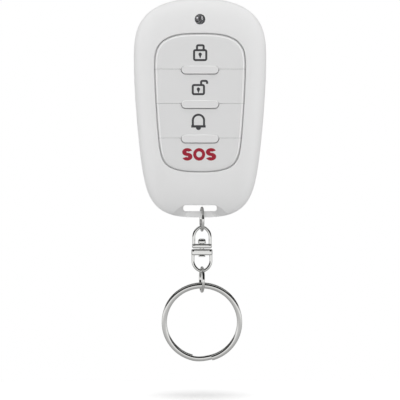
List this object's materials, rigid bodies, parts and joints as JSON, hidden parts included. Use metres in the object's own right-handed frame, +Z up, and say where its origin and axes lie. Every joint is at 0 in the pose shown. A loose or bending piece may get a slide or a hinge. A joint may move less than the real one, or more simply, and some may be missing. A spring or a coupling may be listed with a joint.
{
  "type": "alarm key fob",
  "caption": "Egg-shaped radio remote for an alarm, with a column of keys, a status light, a coin cell under a turn-off back cap and a swivel chain with a split key ring.",
  "frame": {"origin": "on the flat back face, at the middle of the body's width and length", "axes": "+Z up along the body towards the status light, +Y out of the back, so the keys face -Y, +X to the right"},
  "size_m": [0.041, 0.015, 0.1126],
  "materials": {
    "shell_plastic": "satin moulded",
    "key_plastic": "satin moulded",
    "plunger_plastic": "plain",
    "board_laminate": "solder mask",
    "switch_plastic": "plain",
    "switch_steel": "stamped",
    "led_lens": "clear epoxy",
    "tinned_steel": "tinned",
    "chip_plastic": "moulded",
    "resonator_steel": "plated",
    "chip_ceramic": "fired",
    "antenna_brass": "plain",
    "holder_plastic": "moulded",
    "contact_steel": "spring",
    "cell_steel": "plated",
    "screw_steel": "plain",
    "chain_chrome": "nickel plated"
  },
  "bodies": {
    "body": {"front_shell": "shell_plastic", "rear_shell": "shell_plastic", "circuit_board": "board_laminate", "switch_bases": "switch_plastic", "switch_covers": "switch_steel", "status_led": "led_lens", "led_leads": "tinned_steel", "controller_chip": "chip_plastic", "radio_resonator": "resonator_steel", "crystal": "resonator_steel", "chip_parts": "chip_ceramic", "loop_antenna": "antenna_brass", "battery_holder": "holder_plastic", "positive_contact": "contact_steel", "negative_contact": "contact_steel", "coin_cell": "cell_steel", "shell_screws": "screw_steel"},
    "arm_button": {"arm_key": "key_plastic", "arm_plunger": "plunger_plastic"},
    "disarm_button": {"disarm_key": "key_plastic", "disarm_plunger": "plunger_plastic"},
    "bell_button": {"bell_key": "key_plastic", "bell_plunger": "plunger_plastic"},
    "sos_button": {"sos_key": "key_plastic", "sos_plunger": "plunger_plastic"},
    "cap": {"battery_cap": "shell_plastic"},
    "upper_ring": {"upper_jump_ring": "chain_chrome"},
    "upper_link": {"upper_yoke": "chain_chrome"},
    "lower_link": {"lower_yoke": "chain_chrome", "swivel_pin": "chain_chrome"},
    "lower_ring": {"lower_jump_ring": "chain_chrome"},
    "split_ring": {"key_ring": "chain_chrome"}
  },
  "joints": [
    {"name": "arm_press", "type": "slide", "parent": "body", "child": "arm_button", "axis": [0, 1, 0], "range_m": [0, 0.0004], "stiffness_N_per_m": 4000},
    {"name": "disarm_press", "type": "slide", "parent": "body", "child": "disarm_button", "axis": [0, 1, 0], "range_m": [0, 0.0004], "stiffness_N_per_m": 4000},
    {"name": "bell_press", "type": "slide", "parent": "body", "child": "bell_button", "axis": [0, 1, 0], "range_m": [0, 0.0004], "stiffness_N_per_m": 4000},
    {"name": "sos_press", "type": "slide", "parent": "body", "child": "sos_button", "axis": [0, 1, 0], "range_m": [0, 0.0004], "stiffness_N_per_m": 4000},
    {"name": "cap_turn", "type": "hinge", "parent": "body", "child": "cap", "pos_m": [0, 0, 0.006], "axis": [0, 1, 0], "range_deg": [0, 40]},
    {"name": "upper_ring_swing", "type": "hinge", "parent": "body", "child": "upper_ring", "pos_m": [0.0006, -0.0044, -0.03297], "axis": [1, 0, 0], "range_deg": [-40, 40]},
    {"name": "upper_link_swing", "type": "hinge", "parent": "upper_ring", "child": "upper_link", "pos_m": [0.0006, -0.0044, -0.03791], "axis": [0, 1, 0], "range_deg": [-60, 60]},
    {"name": "swivel", "type": "hinge", "parent": "upper_link", "child": "lower_link", "pos_m": [0.0006, -0.0044, -0.0436], "axis": [0, 0, 1], "continuous": true},
    {"name": "lower_ring_swing", "type": "hinge", "parent": "lower_link", "child": "lower_ring", "pos_m": [0.0006, -0.0044, -0.05056], "axis": [1, 0, 0], "range_deg": [-60, 60]},
    {"name": "key_ring_swing", "type": "hinge", "parent": "lower_ring", "child": "split_ring", "pos_m": [0.0006, -0.0044, -0.05686], "axis": [0, 1, 0], "range_deg": [-60, 60]}
  ]
}
